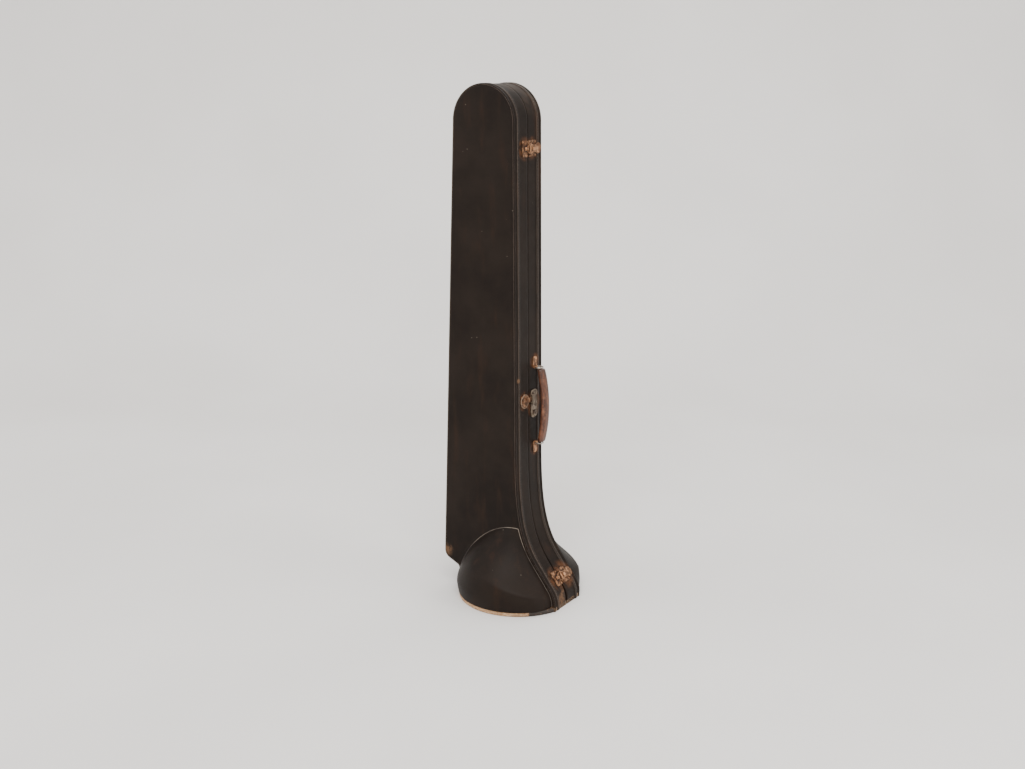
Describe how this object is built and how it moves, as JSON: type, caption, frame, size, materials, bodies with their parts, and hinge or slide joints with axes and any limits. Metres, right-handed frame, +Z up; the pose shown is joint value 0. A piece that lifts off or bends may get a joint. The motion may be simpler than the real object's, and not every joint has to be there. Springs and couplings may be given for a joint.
{
  "type": "trombone case",
  "caption": "Hard-shell trombone case standing on its bell end: hinged lid and base with bell domes, draw latches, centre lock, leather handle and fitted plush interior.",
  "frame": {"origin": "on the floor, under the middle of the case's overall box, which is on the seam between lid and base", "axes": "+Z up along the case from the bell end, +X towards the handle and latch side, +Y towards the base shell's back; the lid is on the -Y side"},
  "size_m": [0.2558, 0.2444, 0.96],
  "materials": {
    "leatherette": "dark brown-black coated cloth over plywood, worn satin",
    "binding": "dark leathercloth edge binding, stitched, worn satin",
    "worn_rim": "bell-end rim with its covering worn through to tan",
    "end_board": "stained plywood end board",
    "plush": "wine plush lining",
    "tarnished_brass": "tarnished, rust-flecked brass plate",
    "steel": "dull steel wire",
    "handle_leather": "red-brown polished handle leather",
    "turn_button_wood": "varnished wood"
  },
  "bodies": {
    "base": {"base_side_frame": "leatherette", "base_bell_dome": "leatherette", "base_bell_end_board": "end_board", "base_bell_rim": "worn_rim", "base_edge_binding": "binding", "base_body_lining": "plush", "base_dome_lining": "plush", "base_back_panel": "leatherette", "hinge_lower_base_leaf": "tarnished_brass", "hinge_middle_base_leaf": "tarnished_brass", "hinge_upper_base_leaf": "tarnished_brass", "hinge_lower_pin": "steel", "hinge_middle_pin": "steel", "hinge_upper_pin": "steel", "top_latch_plate": "tarnished_brass", "top_latch_pin": "steel", "bottom_latch_plate": "tarnished_brass", "bottom_latch_pin": "steel", "lock_plate": "tarnished_brass", "handle_plate_upper": "tarnished_brass", "handle_plate_lower": "tarnished_brass", "bell_collar_block": "plush", "bow_block": "plush", "accessory_box": "plush"},
    "lid": {"lid_side_frame": "leatherette", "lid_bell_dome": "leatherette", "lid_bell_end_board": "end_board", "lid_bell_rim": "worn_rim", "lid_edge_binding": "binding", "lid_body_lining": "plush", "lid_dome_lining": "plush", "lid_front_panel": "leatherette", "hinge_lower_lid_leaf": "tarnished_brass", "hinge_middle_lid_leaf": "tarnished_brass", "hinge_upper_lid_leaf": "tarnished_brass", "top_latch_keeper": "tarnished_brass", "bottom_latch_keeper": "tarnished_brass", "lock_catch": "tarnished_brass", "slide_rest_lower": "plush", "slide_rest_upper": "plush", "turn_button_screw_lower": "steel", "turn_button_screw_upper": "steel"},
    "top_latch_lever": {"top_latch_lever": "tarnished_brass"},
    "top_latch_link": {"top_latch_link": "tarnished_brass"},
    "bottom_latch_lever": {"bottom_latch_lever": "tarnished_brass"},
    "bottom_latch_link": {"bottom_latch_link": "tarnished_brass"},
    "lock_button": {"lock_button": "tarnished_brass"},
    "handle": {"handle_grip": "handle_leather", "handle_ring_upper": "steel", "handle_ring_lower": "steel"},
    "turn_button_lower": {"turn_button_lower": "turn_button_wood"},
    "turn_button_upper": {"turn_button_upper": "turn_button_wood"}
  },
  "joints": [
    {"name": "lid_hinge", "type": "hinge", "parent": "base", "child": "lid", "pos_m": [-0.11192, 0, 0.50006], "axis": [-0.037, 0, -0.9993], "range_deg": [0, 175]},
    {"name": "top_latch_lift", "type": "hinge", "parent": "base", "child": "top_latch_lever", "pos_m": [0.03836, 0.0038, 0.84702], "axis": [0.008, 0, -1], "range_deg": [0, 100]},
    {"name": "top_link_swing", "type": "hinge", "parent": "top_latch_lever", "child": "top_latch_link", "pos_m": [0.04156, 0.009, 0.84705], "axis": [0.008, 0, -1], "range_deg": [-140, 0]},
    {"name": "bottom_latch_lift", "type": "hinge", "parent": "base", "child": "bottom_latch_lever", "pos_m": [0.11106, 0.0038, 0.05318], "axis": [0.606, 0, -0.7955], "range_deg": [0, 100]},
    {"name": "bottom_link_swing", "type": "hinge", "parent": "bottom_latch_lever", "child": "bottom_latch_link", "pos_m": [0.11361, 0.009, 0.05512], "axis": [0.606, 0, -0.7955], "range_deg": [-140, 0]},
    {"name": "lock_button_slide", "type": "slide", "parent": "base", "child": "lock_button", "axis": [-0.008, 0, 1], "range_m": [0, 0.005], "stiffness_N_per_m": 60, "springref_m": -0.002},
    {"name": "handle_swing", "type": "hinge", "parent": "base", "child": "handle", "pos_m": [0.04163, 0.021, 0.37452], "axis": [-0.008, 0, 1], "range_deg": [-40, 40]},
    {"name": "turn_button_lower_turn", "type": "hinge", "parent": "lid", "child": "turn_button_lower", "pos_m": [-0.03021, -0.007, 0.262], "axis": [0, 1, 0], "range_deg": [-90, 90]},
    {"name": "turn_button_upper_turn", "type": "hinge", "parent": "lid", "child": "turn_button_upper", "pos_m": [-0.03021, -0.007, 0.8], "axis": [0, 1, 0], "range_deg": [-90, 90]}
  ],
  "couplings": [
    {"joint": "top_link_swing", "follows": "top_latch_lift", "ratio": -1.4},
    {"joint": "bottom_link_swing", "follows": "bottom_latch_lift", "ratio": -1.4}
  ]
}
